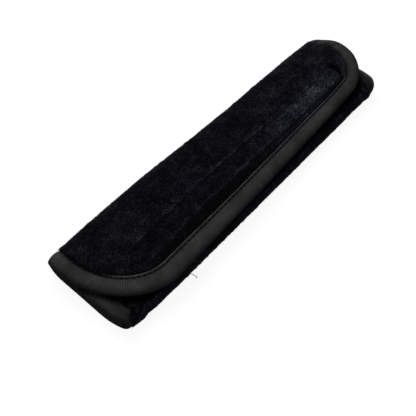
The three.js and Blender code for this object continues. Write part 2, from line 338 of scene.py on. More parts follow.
def seam_lines(x, s):
    off = s - strip_s(x, 0)
    along = along_seam(x, before=4, ease=14, past=1, fade=2)
    return hill((np.abs(off) - STITCH_OFFSET) / GROOVE_WIDTH) * along


def end_crease(x, s):
    off = s - strip_s(x, 0)
    bowed = STITCH_FAR + CREASE_AT - CREASE_BOW * (off + CREASE_SKEW) ** 2
    return hill((x - bowed) / CREASE_WIDTH) * across_strip(off, past=2.5, fade=3)


def strip_groove(x, s):
    off = s - strip_s(x, 0)
    beyond = past_seam(x, at=7, width=3.5) * across_strip(off, past=5, fade=6)
    before = past_seam(x, at=-3, width=3) * across_strip(off, past=1, fade=2)
    pulled = np.maximum(GROOVE * seam_lines(x, s), CREASE * end_crease(x, s))
    return pulled - END_SWELL * (beyond + END_SWELL_BEFORE * before)


# How far the plush folds out over the tape: at both ends of the back fold and the top, and
# at both ends of the front fold
TAPE_EDGE = TAPE_WIDTH + 0.1
COVER_FROM = 60
COVER_EASE = 30
FAR_COVER = 7.6
FAR_COVER_LENGTH = 52
NEAR_COVER = 2.5
NEAR_COVER_PAST = 15
NEAR_COVER_LENGTH = 25
BACK_COVER_EASE = 14
FRONT_COVER = 3
FRONT_COVER_BEFORE = 16
FRONT_COVER_EASE = 9
UNDER_COVER = 6.5
UNDER_COVER_BEFORE = 1.5
UNDER_COVER_EASE = 6
FRONT_COVER_END = 5


def cover_at(x, s):
    at_end = smooth((np.abs(x) - COVER_FROM) / COVER_EASE)
    over_top = np.clip(1 - (s - TOP_START) / FAR_COVER_LENGTH, 0, 1)
    far = FAR_COVER * over_top * (x > 0)
    past = s - TOP_START - NEAR_COVER_PAST
    near = NEAR_COVER * (1 - smooth(past / NEAR_COVER_LENGTH)) * (x < 0)
    back = (far + near) * at_end * smooth((s - BACK_START) / BACK_COVER_EASE)
    past = s - FRONT_START
    front = FRONT_COVER * smooth((past + FRONT_COVER_BEFORE) / FRONT_COVER_EASE)
    under = UNDER_COVER * smooth((past + UNDER_COVER_BEFORE) / UNDER_COVER_EASE) * (x < 0)
    front = (front + under) * smooth((MIDDLE_START - s) / FRONT_COVER_END) * at_end
    return np.where(s < MIDDLE_START, front, back)


# Where a point of the plush's outer face goes once the cloth has folded over the tape: it
# moves out, more the nearer it is to the tape, and lies on the tape with a rounded lip
COVER_START = TAPE_WIDTH + 0.35
COVER_DEPTH = 0.4
COVER_THICK = 0.5
LIP = 0.4
LIP_FROM = 0.2
THICK_FROM = 0.3
THICK_EASE = 0.8
MOVED_FROM = 0.6
MOVED_REACH = 12
LIFT_REACH = 6
LIFT_EASE = 7
FULL_COVER = 2
PAD_RIM = 4


def over_tape(x, s, depth):
    inset = inset_of(x, s)
    cover = cover_at(x, s)
    past = inset - COVER_START
    out = smooth(past / LIP) * (1 - smooth((past - MOVED_FROM) / MOVED_REACH))
    new_inset = inset - cover * out
    over = smooth((TAPE_WIDTH + LIFT_REACH - new_inset) / LIFT_EASE) * smooth(cover / FULL_COVER)
    top = COVER_DEPTH + COVER_THICK * smooth((past - THICK_FROM) / THICK_EASE)
    lifted = np.minimum(depth, lerp(depth, -top * smooth(new_inset / PAD_RIM), over))
    return x + np.sign(x) * cover * out, s, np.where(past > -LIP_FROM, lifted, depth)


# How the padded cloth swells between its seams
SWELL_POWER = 0.7
SINK_EASE = 0.9
GROOVE_EASE = 2


def swell_at(x, s, inset):
    rise = smooth((inset - TAPE_EDGE) / PUFF_WIDTH) ** SWELL_POWER
    round_back = (s - BACK_START) / (TOP_START - BACK_START)
    puff = lerp(BACK_PUFF, FLAP_PUFF, smooth(2 * round_back - 1)) * smooth(2 * round_back)
    round_front = np.clip((s - FRONT_START) / (MIDDLE_START - FRONT_START), 0, 1)
    soft = 0.35 * noise(x, s, size=31, seed=5) + 0.2 * noise(x, s, size=13, seed=6)
    sunk = FRONT_SINK * np.sin(math.pi * round_front)
    return rise * (puff - sunk + soft * smooth(round_back))


def clear_of_tape(inset):
    return smooth((inset - TAPE_EDGE) / SINK_EASE)


def plush_body(x, s, groove=strip_groove):
    inset = inset_of(x, s)
    pulled = groove(x, s) * smooth((inset - TAPE_EDGE) / GROOVE_EASE)
    return SINK * (1 - clear_of_tape(inset)) - swell_at(x, s, inset) + pulled


# The layers below give way more broadly where a seam pulls the plush down
BROAD_GROOVE = 0.9
BROAD_GROOVE_WIDTH = 4.5
BROAD_CREASE = 1.25


def broad_groove(x, s):
    off = s - strip_s(x, 0)
    along = along_seam(x, before=8, ease=14, past=5, fade=4)
    lines = hill((np.abs(off) - STITCH_OFFSET) / BROAD_GROOVE_WIDTH) * along
    crease = past_seam(x, at=1.5, width=6) * across_strip(off, past=7, fade=5)
    return np.maximum(BROAD_GROOVE * lines, BROAD_CREASE * crease)


# The pile stands in tufts that lean in soft patches, flatter ones on the front fold
PATCH = 0.14
FRONT_PATCH = 0.05
PILE_EASE = 1.5


def plush_pile(x, s):
    tufts = 0.16 * noise(x, s, size=1.9, seed=11) + 0.09 * noise(x, s, size=1.1, seed=12)
    patch = np.where(s < MIDDLE_START, FRONT_PATCH, PATCH)
    return tufts + patch * noise(x, s, size=7.5, seed=13)


def plush_outer(x, s):
    piled = smooth((inset_of(x, s) - TAPE_WIDTH) / PILE_EASE)
    return plush_body(x, s) - plush_pile(x, s) * piled


# The row of stitches on the front fold, and the painted shade of the dimple round each one
FOLD_ROW = FRONT_START + 1.2
FOLD_ROW_END = 108
FOLD_PITCH = 4.4
DIMPLE_SHADE = 0.9
DIMPLE_WIDTH = 1.5
DIMPLE_MIDDLE = 0.65
DIMPLE_SWING = 0.9


def fold_dimple_shade(x, s):
    beat = np.cos(2 * math.pi * ((x + FOLD_ROW_END) / FOLD_PITCH - 0.5))
    row = hill((s - FOLD_ROW) / DIMPLE_WIDTH) * (np.abs(x) < FOLD_ROW_END)
    return DIMPLE_SHADE * row * smooth(DIMPLE_MIDDLE + DIMPLE_SWING * beat)


# How light the pile is, most of it painted light and shade: painted shade in the seams and
# beside the tape, a painted highlight along the seams' crests, and painted sheen between the
# seams towards the far end, where the pile leans towards the light, and where it lies over the tape
PILE_TONE = 0.83
FAR_LENGTH = 72
FAR_LIGHTER = 0.42
TIP_AT = 92
TIP_EASE = 12
TIP_DARKER = 0.25
TOP_EASE = 6
BAND_LIGHTER = 2.45
BAND_DARKER = 0.3
BAND_EVENER = 0.65
BAND_DIMS_AT = 72
BAND_DIMS = 0.35
BAND_DIMS_LENGTH = 20
CREST = 2.6
CREST_SHIFT = -1.0
CREST_WIDTH = 0.75
CREST_NEAR = 0.6
CREST_FAR = 0.7
CREST_LENGTH = 60
SEAM_DARKER = 0.9
SEAM_SHIFT = 0.75
SEAM_WIDTH = 1.15
CREASE_DARKER = 1.6
DARKEST = 0.98
BESIDE_DARKER = 0.62
BESIDE_LENGTH = 40
BESIDE_UNTIL = 30
END_DARKER = 0.55
END_OFF = 11
SHUT_NEAR = 0.36
SHUT_FAR = 0.5
SHUT_EASE_NEAR = 3.5
SHUT_EASE_FAR = 2
OVER_TAPE_SHEEN = 2.1
OVER_TAPE_SHEEN_REACH = 8
OVER_TAPE_SHEEN_POWER = 1.3
CORNER_LIGHTER = 1.5
CORNER_COVER = 3.5
CORNER_AT = 106
CORNER_EASE = 5


# Painted sheen in the band between the seam lines: lighter and streaked towards the far end, where
# the pile leans towards the light, darker towards the near end
def band_tone(x, s, off, far, ends):
    band = across_strip(off, past=0.5, fade=2.2) * ends
    streaks = 0.95 + 0.3 * noise(x / 9, s, size=1.1, seed=41)
    streaks = streaks + 0.3 * noise(x / 6, s, size=2.6, seed=42)
    palest = 1 - BAND_DIMS * smooth((x - BAND_DIMS_AT) / BAND_DIMS_LENGTH)
    return band, band * (BAND_LIGHTER * far * palest * streaks - BAND_DARKER * (1 - far))


# A painted highlight along each seam's crest, and painted shade in the seams and in the crease at
# the strip's far end
def seam_tones(x, s, off, far):
    stitched = along_seam(x, before=4, ease=14, past=0, fade=12)

    def at_lines(shift, width):
        return hill((np.abs(off - shift) - STITCH_OFFSET) / width)

    crest = at_lines(CREST_SHIFT, CREST_WIDTH) * stitched * lerp(1, CREST_FAR, far)
    crest = crest * (0.9 + 0.25 * noise(x, s, size=6, seed=46))
    crest = crest * lerp(CREST_NEAR, 1, smooth((x + CREST_LENGTH) / CREST_LENGTH))
    seam = SEAM_DARKER * at_lines(SEAM_SHIFT, SEAM_WIDTH) * stitched
    seam = seam * (0.9 + 0.2 * noise(x, s, size=12, seed=47))
    return crest, np.minimum(seam + CREASE_DARKER * end_crease(x, s), DARKEST)


def plush_tone(x, s):
    off = s - strip_s(x, 0)
    far = smooth(x / FAR_LENGTH)
    on_top = smooth((s - TOP_START + TOP_EASE) / (2 * TOP_EASE))
    ends = along_seam(x, before=0, ease=16, past=2, fade=2)
    band, between = band_tone(x, s, off, far, ends)
    crest, seam = seam_tones(x, s, off, far)
    tip = smooth((x - TIP_AT) / TIP_EASE)
    # The top is painted lighter towards the far end, nearer the light; the far tip is darker
    tone = PILE_TONE + FAR_LIGHTER * far * on_top - TIP_DARKER * tip * on_top + between
    clumps = 0.22 * noise(x, s, size=4.3, seed=43) + 0.36 * noise(x, s, size=12, seed=44)
    clumps = clumps + 0.55 * noise(x, s, size=1.5, seed=45)
    tone = tone * (1 + (1 - BAND_EVENER * band * far) * clumps) + CREST * crest * (1 + 0.3 * clumps)

    inset = inset_of(x, s)
    cover = cover_at(x, s)
    # Painted sheen where the plush is rolled over the tape at the far end; there the painted shade
    # beside the tape is lifted
    wear_and_sheen = smooth((cover - 1) / 3) * (x > 0) * (s > BACK_START)
    beside_tape = (1 - smooth((inset - TAPE_WIDTH - 0.3) / OVER_TAPE_SHEEN_REACH)) ** OVER_TAPE_SHEEN_POWER
    # Painted shade beside the tape, where the plush sinks down to it
    shut = lerp(lerp(SHUT_NEAR, SHUT_FAR, far), 1, wear_and_sheen)
    open_by = smooth((inset - TAPE_WIDTH) / lerp(SHUT_EASE_NEAR, SHUT_EASE_FAR, far))
    tone = tone * (1 - seam) * lerp(shut, 1, open_by) * (1 - fold_dimple_shade(x, s))
    # Painted shade beside the strip's outer seam, where the plush slopes down to the tape, away
    # from the light
    beside = smooth((off - STITCH_OFFSET - 0.3) / 1.2) * ends
    beside = beside * smooth((BESIDE_UNTIL - x) / BESIDE_LENGTH)
    end_dark = past_seam(x, at=END_OFF, width=6) * across_strip(off + END_OFF, past=5, fade=8)
    tone = tone * (1 - BESIDE_DARKER * beside) * (1 - END_DARKER * end_dark)
    # Painted sheen where the plush is rolled over the tape at the near corner of the front fold
    corner = smooth((cover - CORNER_COVER) / 3) * smooth((-x - CORNER_AT) / CORNER_EASE)
    corner = corner * (s < MIDDLE_START)
    return tone * (1 + OVER_TAPE_SHEEN * wear_and_sheen * beside_tape) * (1 + CORNER_LIGHTER * corner)


# The plush's hidden face; the cloth is thinner where the tape grips it
GRIPPED = 0.7


def plush_inner(x, s):
    thick = lerp(GRIPPED, PLUSH, clear_of_tape(inset_of(x, s)))
    return plush_body(x, s, broad_groove) + thick


# Meshes and objects
def material(name):
    made = bpy.data.materials.new(name)
    made.use_nodes = True
    return made


def make_piece(name, points, faces, mat, nodes=(), smooth_faces=True):
    mesh = bpy.data.meshes.new(name)
    mesh.from_pydata([tuple(p) for p in np.asarray(points).reshape(-1, 3)], [], faces)
    mesh.validate()
    if smooth_faces:
        mesh.shade_smooth()
    mesh.materials.append(mat)
    piece = bpy.data.objects.new(name, mesh)
    bpy.context.scene.collection.objects.link(piece)
    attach(piece, "root")
    if nodes:
        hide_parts(*nodes)
    return piece


# How light each point of a piece is, for its material to read: its own tone together with
# painted light and shade
def set_tone(piece, values):
    tones = piece.data.attributes.new("tone", "FLOAT", "POINT")
    tones.data.foreach_set("value", np.asarray(values, float).ravel())


def grid_faces(rows, columns, start=0, flip=False):
    i, j = np.meshgrid(np.arange(rows - 1), np.arange(columns - 1), indexing="ij")
    a = start + i * columns + j
    quad = [a, a + 1, a + columns + 1, a + columns]
    if flip:
        quad.reverse()
    return np.stack([q.ravel() for q in quad], axis=1).tolist()


# The faces that join a fine row of points to a coarse one that has every step-th of them
def zip_rows(fine, coarse, step, flip):
    faces = []
    for k in range(len(coarse) - 1):
        run = fine[k * step : (k + 1) * step + 1]
        half = len(run) // 2
        fan = [(coarse[k], run[n + 1], run[n]) for n in range(half)]
        fan.append((coarse[k], coarse[k + 1], run[half]))
        fan += [(coarse[k + 1], run[n + 1], run[n]) for n in range(half, len(run) - 1)]
        faces += [tuple(reversed(f)) if flip else f for f in fan]
    return faces


# Places from one end of a line up to the other, with about the given step
def spread(start, end, step):
    count = max(1, round((end - start) / step))
    return np.linspace(start, end, count, endpoint=False)


# The same places with a few added, so that their steps make whole groups of COARSE
COARSE = 6


def fit_coarse(values):
    spare = (len(values) - 1) % COARSE
    if spare:
        gaps = np.argsort(np.diff(values))[::-1][: COARSE - spare]
        values = np.sort(np.append(values, (values[gaps] + values[gaps + 1]) / 2))
    return values


# The insets of the grid lines that follow the outline, closest beside the tape
EDGE_COLUMNS = np.array(
    [EDGE_INSET, 6, 11.2, 11.6, 11.8, 12.0, 12.2, 12.5, 12.9, 13.5, 14.3, 15.2]
)
LEAST_STEP = 0.12


def rows_round(first, top_step, low_step):
    edge = EDGE_COLUMNS[EDGE_COLUMNS > first]
    rows = np.concatenate([
        [first],
        edge,
        spread(EDGE_COLUMNS[-1] + low_step, FRONT_START, low_step),
        spread(FRONT_START, MIDDLE_START, top_step),
        spread(MIDDLE_START, BACK_START, 3 * low_step),
        spread(BACK_START, GIRTH - EDGE_COLUMNS[-1], top_step),
        GIRTH - edge[::-1],
        [GIRTH - first],
    ])
    return fit_coarse(np.sort(rows))


# A grid of x over the rows s: its outer columns follow the outline
def columns_over(rows, step):
    middle = fit_coarse(np.linspace(0, 1, round(2 * HALF / step)))
    while (len(middle) + 2 * len(EDGE_COLUMNS) - 1) % COARSE:
        middle = np.linspace(0, 1, len(middle) + 1)
    sides = []
    for side in (1, -1):
        ends = []
        for inset in EDGE_COLUMNS:
            end = side * end_at(side, rows, inset)
            ends.append(np.minimum(end, ends[-1] - LEAST_STEP) if ends else end)
        sides.append(side * np.array(ends).T)
    far, near = sides
    share = np.linspace(0, 1, len(middle) + 2)[1:-1]
    inner = lerp(far[:, -1:], near[:, -1:], share[None, :])
    return np.concatenate([far, inner, near[:, ::-1]], axis=1)


# A closed sheet: a fine outer face, an inner face with every second, third or so of its
# points, and a rim between them
PLUSH_SHARE = 3
FOAM_SHARE = 1
LINING_SHARE = 2


def as_is(x, s, depth):
    return x, s, depth


def closed_sheet(name, rows, columns, outer, inner, mat, nodes, every, turned=as_is):
    x, s = columns, np.broadcast_to(rows[:, None], columns.shape)
    top = place(*turned(x, s, outer(x, s)))
    cx, cs = x[::every, ::every], s[::every, ::every]
    bottom = place(cx, cs, inner(cx, cs))
    (m, n), (cm, cn) = x.shape, cx.shape
    fine = np.arange(m * n).reshape(m, n)
    coarse = m * n + np.arange(cm * cn).reshape(cm, cn)
    faces = grid_faces(m, n) + grid_faces(cm, cn, m * n, flip=True)
    for a, b, flip in (
        (fine[0], coarse[0], False), (fine[-1], coarse[-1], True),
        (fine[:, 0], coarse[:, 0], True), (fine[:, -1], coarse[:, -1], False),
    ):
        faces += zip_rows(a.tolist(), b.tolist(), every, flip)
    points = np.concatenate([top.reshape(-1, 3), bottom.reshape(-1, 3)])
    return make_piece(name, points, faces, mat, nodes)


# Node materials
def principled(mat, rough, specular, **sockets):
    shader = mat.node_tree.nodes["Principled BSDF"]
    shader.inputs["Roughness"].default_value = rough
    shader.inputs["Specular IOR Level"].default_value = specular
    for name, value in sockets.items():
        shader.inputs[name.replace("_", " ")].default_value = value
    return shader


def noise_node(mat, scale, detail, rough):
    nodes, links = mat.node_tree.nodes, mat.node_tree.links
    coords = nodes.new("ShaderNodeTexCoord")
    tex = nodes.new("ShaderNodeTexNoise")
    tex.inputs["Scale"].default_value = scale
    tex.inputs["Detail"].default_value = detail
    tex.inputs["Roughness"].default_value = rough
    links.new(coords.outputs["Object"], tex.inputs["Vector"])
    return tex.outputs["Fac"]


def colours(mat, factor, stops):
    nodes, links = mat.node_tree.nodes, mat.node_tree.links
    ramp = nodes.new("ShaderNodeValToRGB")
    links.new(factor, ramp.inputs["Fac"])
    elements = ramp.color_ramp.elements
    while len(elements) < len(stops):
        elements.new(0.5)
    for element, (at, colour) in zip(elements, stops):
        element.position = at
        element.color = (*colour, 1)
    return ramp.outputs["Color"]


def blend(mat, factor, a, b, mode="MIX"):
    nodes, links = mat.node_tree.nodes, mat.node_tree.links
    mix = nodes.new("ShaderNodeMix")
    mix.data_type = "RGBA"
    mix.blend_type = mode
    for socket, value in ((mix.inputs[0], factor), (mix.inputs[6], a), (mix.inputs[7], b)):
        if hasattr(value, "is_linked"):
            links.new(value, socket)
        else:
            socket.default_value = value if isinstance(value, float) else (*value, 1)
    return mix.outputs[2]


def bump(mat, shader, height, strength, distance):
    nodes, links = mat.node_tree.nodes, mat.node_tree.links
    node = nodes.new("ShaderNodeBump")
    node.inputs["Strength"].default_value = strength
    node.inputs["Distance"].default_value = distance
    links.new(height, node.inputs["Height"])
    links.new(node.outputs["Normal"], shader.inputs["Normal"])


def toned(mat, colour):
    tone = mat.node_tree.nodes.new("ShaderNodeAttribute")
    tone.attribute_name = "tone"
    return blend(mat, 1.0, colour, tone.outputs["Fac"], "MULTIPLY")


def plush_material():
    mat = material("black_plush")
    shader = principled(
        mat, rough=0.9, specular=0.02,
        Sheen_Weight=0.04, Sheen_Roughness=0.35, Sheen_Tint=(0.8, 0.86, 1.0, 1),
    )
    patches = noise_node(mat, scale=110, detail=5, rough=0.65)
    tufts = noise_node(mat, scale=1150, detail=3, rough=0.6)
    deep, pile = (0.0015, 0.0017, 0.0028), (0.0034, 0.0037, 0.0053)
    bright = (0.0076, 0.0080, 0.0099)
    ground = colours(mat, patches, [(0.36, deep), (0.52, pile), (0.72, bright)])
    speckle = colours(mat, tufts, [(0.4, (0.05, 0.05, 0.09)), (0.62, (2.8, 2.8, 2.7))])
    tint = toned(mat, blend(mat, 1.0, ground, speckle, "MULTIPLY"))
    mat.node_tree.links.new(tint, shader.inputs["Base Color"])
    bump(mat, shader, tufts, strength=0.6, distance=0.6 * MM)
    return mat


def tape_material():
    mat = material("ribbed_tape")
    shader = principled(mat, rough=0.8, specular=0.04)
    wear = noise_node(mat, scale=110, detail=3, rough=0.6)
    yarn = noise_node(mat, scale=2300, detail=2, rough=0.6)
    ground = colours(mat, wear, [(0.3, (0.013, 0.013, 0.013)), (0.7, (0.022, 0.0218, 0.022))])
    fibres = colours(mat, yarn, [(0.3, (0.6, 0.6, 0.6)), (0.7, (1.4, 1.4, 1.4))])
    tint = toned(mat, blend(mat, 1.0, ground, fibres, "MULTIPLY"))
    mat.node_tree.links.new(tint, shader.inputs["Base Color"])
    bump(mat, shader, yarn, strength=0.35, distance=0.2 * MM)
    return mat


def plain_cloth(name, dark, light, scale, rough=0.85, specular=0.2):
    mat = material(name)
    shader = principled(mat, rough, specular)
    weave = noise_node(mat, scale, detail=3, rough=0.6)
    tint = colours(mat, weave, [(0.35, dark), (0.65, light)])
    mat.node_tree.links.new(tint, shader.inputs["Base Color"])
    bump(mat, shader, weave, strength=0.5, distance=0.2 * MM)
    return mat


# The outline of the flat pad as lines that run inwards from its edge: each is a point of
# the edge, x and s, and how x and s change with the inset
OUTLINE_STEPS = 60


def outline_rays():
    rays = []

    def corner(side, edge, inward, size, turns):
        along, across = size
        for t in turns:
            c, d = math.cos(t), math.sin(t)
            rays.append((
                side * (HALF - along + along * c),
                edge + inward * across * (1 - d),
                -side * c,
                inward * d,
            ))

    def straight(start, end, direction):
        for t in np.linspace(0, 1, OUTLINE_STEPS)[:-1]:
            rays.append((*(lerp(a, b, t) for a, b in zip(start, end)), *direction))

    quarter = np.linspace(0, math.pi / 2, OUTLINE_STEPS)
    corner(1, 0, 1, UNDER_CORNER, quarter[::-1])
    straight((HALF, UNDER_CORNER[1]), (HALF, GIRTH - FAR_CORNER[1]), (-1, 0))
    corner(1, GIRTH, -1, FAR_CORNER, quarter)
    top = [(side * (HALF - size[0]), GIRTH) for side, size in ((1, FAR_CORNER), (-1, NEAR_CORNER))]
    straight(*top, (0, -1))
    corner(-1, GIRTH, -1, NEAR_CORNER, quarter[::-1])
    straight((-HALF, GIRTH - NEAR_CORNER[1]), (-HALF, UNDER_CORNER[1]), (1, 0))
    corner(-1, 0, 1, UNDER_CORNER, quarter)
    low = HALF - UNDER_CORNER[0]
    straight((-low, 0), (low, 0), (0, 1))
    return np.array(rays + rays[:1])


# The same lines at equal steps along the tape, measured inside its edge
STEP_INSET = 5


def even_rays(count):
    rays = outline_rays()
    at = rays[:, :2] + rays[:, 2:] * STEP_INSET
    run = np.concatenate([[0], np.cumsum(np.hypot(*np.diff(at, axis=0).T))])
    where = np.arange(count) * run[-1] / count
    even = np.stack([np.interp(where, run, column) for column in rays.T], axis=1)
    return even, where, run[-1]


RIB_PITCH = 0.95
RIB_STEPS = 4
RIB_HEIGHT = 0.24
RIB_SHADE = 0.76
STITCH_INSET = TAPE_WIDTH - 1.7
STITCH_PITCH = 3.5
TAPE_LIP = 0.42
GROOVE_SHADE = 0.12


# The tape's folded section on its outer side, from its inner edge round to the pad's
# edge: inset, depth, which way its ribs stand, and how light it is, which is painted light
# and shade: a painted highlight on the lip, painted shade where it meets the plush and in the
# stitch groove, and painted shade as the tape rolls over the pad's edge
def tape_side():
    return [
        (TAPE_WIDTH, TAPE_LIP, 0, 0, 0.3),
        (TAPE_WIDTH - 0.1, 0.04, 0, 0, 0.8),
        (TAPE_WIDTH - 0.4, -0.16, 0, -0.5, 1.7),
        (STITCH_INSET + 0.9, -0.04, 0, -0.3, 1.3),
        (STITCH_INSET + 0.45, 0.34, 0, 0, GROOVE_SHADE),
        (STITCH_INSET - 0.45, 0.34, 0, 0, GROOVE_SHADE),
        (STITCH_INSET - 1.05, -0.07, 0, -0.8, 0.8),
        (7.6, -0.32, 0, -1, 1.0),
        (6.2, -0.46, 0, -1, 1.08),
        (4.8, -0.46, 0, -1, 1.08),
        (3.3, -0.26, 0, -1, 0.98),
        (2.0, 0.08, -0.2, -0.9, 0.78),
        (0.95, 0.52, -0.6, -0.8, 0.5),
        (0.25, 1.05, -0.9, -0.4, 0.32),
        (0, PANEL / 2, -1, 0, 0.25),
    ]


# The flap's free edge seen from above, and how much it shades what lies below it
SHADE_REACH = 5.5
TAPE_SHADE_REACH = 2.8
SHADE_LEAST = 0.05
SHADE_UNTIL = FRONT_START + 2


def flap_outline():
    rays = outline_rays()
    rays = rays[rays[:, 1] > TOP_START]
    return place(rays[:, 0], rays[:, 1], PANEL / 2)[:, :2] / MM


def shaded_by_flap(x, s, reach=SHADE_REACH):
    at = place(x, s, 0)[..., :2] / MM
    gap = np.full(at.shape[:-1], np.inf)
    for point in flap_outline()[::2]:
        gap = np.minimum(gap, np.hypot(*np.moveaxis(at - point, -1, 0)))
    return np.where(s < SHADE_UNTIL, lerp(SHADE_LEAST, 1, smooth(gap / reach)), 1)


# The tape's whole section, closed: its outer side, its inner side and the hollow between
TAPE_BEND = 0.4
HOLLOW_TONE = 0.5


def tape_section():
    side = tape_side()
    other = [(i, PANEL - n, di, -dn, tone) for i, n, di, dn, tone in reversed(side[2:-1:2])]
    other.append((TAPE_WIDTH, PANEL - TAPE_LIP, 0, 0, 0.3))
    hollow = [
        (TAPE_WIDTH, PANEL - TAPE),
        (TAPE + TAPE_BEND, PANEL - TAPE),
        (TAPE, PANEL / 2),
        (TAPE + TAPE_BEND, TAPE),
        (TAPE_WIDTH, TAPE),
    ]
    section = np.array(side + other + [(i, n, 0, 0, HOLLOW_TONE) for i, n in hollow])
    return section, np.arange(len(section)) < len(side) - 1


# How light the tape is below the flap, in painted light and shade: rolled over at the far end,
# with a painted highlight on its outer edge and painted shade inside it, and painted shadow of
# the flap at the near end towards the front fold
def low_light(x, s, i):
    rolled = lerp(2.0, 0.35, smooth((inset_of(x, s) - 1.5) / 3.5))
    off = s - FRONT_START
    flap_shadow = 1 - 0.5 * smooth((off + 7) / 8)
    flap_shadow = flap_shadow * (1 - 0.35 * smooth((i - 2.5) / 3) * smooth((off + 24) / 10))
    flap_shadow = flap_shadow * (1 - 0.6 * smooth((i - 4.5) / 2.5) * hill((off + 13) / 6))
    low = s < MIDDLE_START
    return np.where(low & (x > 0), rolled, np.where(low & (x < 0), flap_shadow, 1))


COVERED_SINK = 0.45
UNDER_PLUSH = 0.8
TAPE_TONE = 2.35
GROOVE_SHADE_LIFT = 2.4


def edge_binding(mat):
    section, outer_face = tape_section()
    _, _, length = even_rays(4)
    count = RIB_STEPS * round(length / RIB_PITCH)
    rays, where, _ = even_rays(count)
    ridge = 0.5 + 0.5 * np.cos(2 * math.pi * np.arange(count) / RIB_STEPS)
    rib = RIB_HEIGHT * ridge
    inset, depth, out_inset, out_depth, tone = section.T
    crown = np.where(np.abs(out_depth) > 0, 1.0, 0.0)

    def run(size, seed):
        return noise(where, where * 0, size, seed)[:, None]

    sway = 0.12 * run(size=14, seed=21) * crown * np.sign(out_depth)
    i = inset + rib[:, None] * out_inset + 0.25 * run(size=24, seed=22)
    i = np.maximum(i, 0)
    n = depth + rib[:, None] * out_depth + sway
    x = rays[:, 0:1] + rays[:, 2:3] * i
    s = rays[:, 1:2] + rays[:, 3:4] * i
    cover = cover_at(x, s)
    under = smooth((i - TAPE_WIDTH + cover + UNDER_PLUSH) / (2 * UNDER_PLUSH))
    n = n + COVERED_SINK * under * smooth(cover / 1.5) * outer_face
    points = place(x, s, n)
    k = len(section)
    a = np.arange(count)[:, None] * k + np.arange(k)
    b = np.roll(a, -1, axis=0)
    faces = np.stack([a, b, np.roll(b, -1, axis=1), np.roll(a, -1, axis=1)], axis=-1)
    faces = faces.reshape(-1, 4).tolist()
    piece = make_piece("edge_binding_tape", points, faces, mat, ["edge_binding"])
    ribbed = np.where(np.hypot(out_inset, out_depth) > 0, RIB_SHADE, 0)
    wear_and_sheen = 1 + 0.2 * run(size=9, seed=23) + 0.12 * noise(x, s, size=2.3, seed=24)
    shade = (1 - ribbed * (1 - ridge[:, None])) * wear_and_sheen * shaded_by_flap(x, s, TAPE_SHADE_REACH)
    # The stitch groove's painted shade is lifted in dashes between the stitches
    between = np.cos(2 * math.pi * where[:, None] / STITCH_PITCH) * (tone == GROOVE_SHADE)
    groove_shade_lifted = 1 + GROOVE_SHADE_LIFT * np.clip(between, 0, 1)
    set_tone(piece, TAPE_TONE * tone * shade * groove_shade_lifted * low_light(x, s, i))


# Stitches: short lengths of thread that dip into the cloth at both ends
RINGS = 6
SIDES = 6
STITCH_END = 0.35
PATH_STEP = 0.5
EDGE_PATH_POINTS = 1400
THREAD_DIP = 0.12
CREASE_DIP = 0.6
INNER_THREAD_DEPTH = 0.16
OUTER_THREAD_DEPTH = 0.3
FOLD_THREAD_RISE = 0.05


def stitches(name, path, pitch, length, radius, rise, mat):
    x, s, depth = path
    run = np.concatenate([[0], np.cumsum(np.hypot(np.diff(x), np.diff(s)))])
    count = int(run[-1] / pitch)
    t = np.linspace(-0.5, 0.5, RINGS)
    where = (np.arange(count)[:, None] + 0.5) * pitch + t * length
    cx, cs, cd = (np.interp(where, run, v) for v in (x, s, depth))
    tx = np.interp(where + 0.2, run, x) - np.interp(where - 0.2, run, x)
    ts = np.interp(where + 0.2, run, s) - np.interp(where - 0.2, run, s)
    size = np.hypot(tx, ts)
    across_x, across_s = -ts / size, tx / size
    arch = 1 - (2 * t) ** 2
    thick = radius * lerp(STITCH_END, 1, np.sqrt(np.clip(arch, 0, 1)))
    turn = np.linspace(0, 2 * math.pi, SIDES, endpoint=False)
    side = thick[None, :, None] * np.cos(turn)
    up = thick[None, :, None] * np.sin(turn) + rise * arch[None, :, None]
    points = place(
        cx[..., None] + across_x[..., None] * side,
        cs[..., None] + across_s[..., None] * side,
        cd[..., None] - up,
    )
    faces = []
    ring = np.arange(SIDES)
    for base in range(0, count * RINGS * SIDES, RINGS * SIDES):
        for r in range(RINGS - 1):
            a = base + r * SIDES + ring
            b = base + r * SIDES + np.roll(ring, -1)
            faces += np.stack([a, b, b + SIDES, a + SIDES], axis=1).tolist()
        faces.append((base + ring[::-1]).tolist())
        faces.append((base + (RINGS - 1) * SIDES + ring).tolist())
    return make_piece(name, points, faces, mat)


def edge_stitching(mat):
    rays, _, _ = even_rays(EDGE_PATH_POINTS)
    rays = np.concatenate([rays, rays[:1]])
    x = rays[:, 0] + rays[:, 2] * STITCH_INSET
    s = rays[:, 1] + rays[:, 3] * STITCH_INSET
    for name, depth, rise in (
        ("edge_stitching", OUTER_THREAD_DEPTH, THREAD_DIP),
        ("edge_stitching_inside", PANEL - INNER_THREAD_DEPTH, -THREAD_DIP),
    ):
        path = (x, s, np.full_like(x, depth))
        stitches(
            name, path, STITCH_PITCH, length=2.5, radius=0.22, rise=rise, mat=mat
        )


def strip_stitching(mat):
    along = np.arange(STITCH_NEAR, STITCH_FAR, PATH_STEP)
    across = np.arange(-STITCH_OFFSET, STITCH_OFFSET, PATH_STEP)
    x = np.concatenate([along, np.full(len(across), STITCH_FAR), along[::-1]])
    off = np.concatenate([
        np.full(len(along), -STITCH_OFFSET), across, np.full(len(along), STITCH_OFFSET)
    ])
    s = strip_s(x, off)
    depth = plush_body(x, s) + np.where(x > STITCH_FAR - PATH_STEP, CREASE_DIP, THREAD_DIP)
    stitches(
        "hook_strip_stitching", (x, s, depth),
        pitch=3.0, length=2.3, radius=0.18, rise=0.15, mat=mat,
    )


